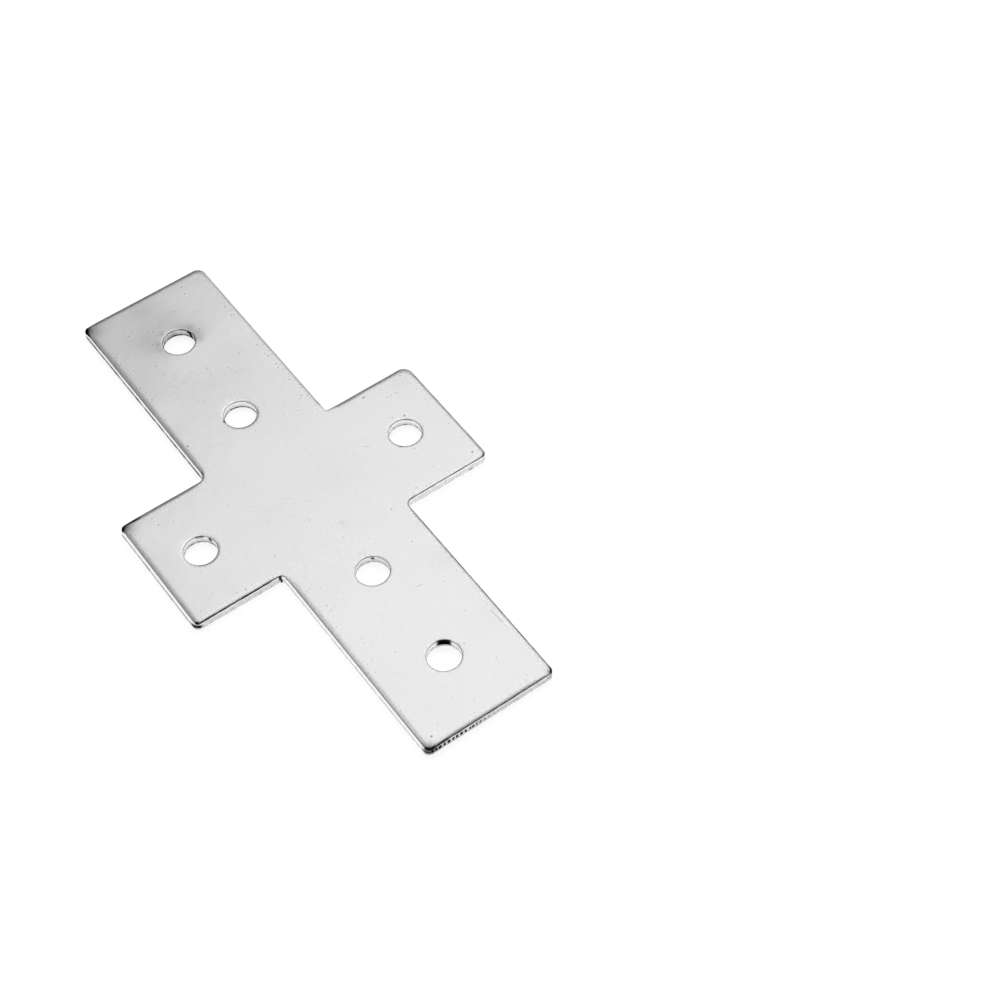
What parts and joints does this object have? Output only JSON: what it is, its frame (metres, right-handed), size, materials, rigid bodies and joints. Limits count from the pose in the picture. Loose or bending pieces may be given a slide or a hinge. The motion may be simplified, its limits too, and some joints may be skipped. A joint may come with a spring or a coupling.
{
  "type": "cross connector plate",
  "caption": "Flat cross-shaped steel plate with round bolt holes along its arms, for joining slotted framing profiles that cross or meet.",
  "frame": {"origin": "centre of the underside, where the plate lies on the profiles", "axes": "+X along the long arm, +Y along the short arm, +Z out of the upper face with the rolled edge"},
  "size_m": [0.158, 0.085, 0.0025],
  "materials": {
    "plated_steel": "bright zinc plating, semi-gloss, lightly scuffed and pitted"
  },
  "bodies": {
    "root": {"cross_plate": "plated_steel"}
  },
  "joints": []
}
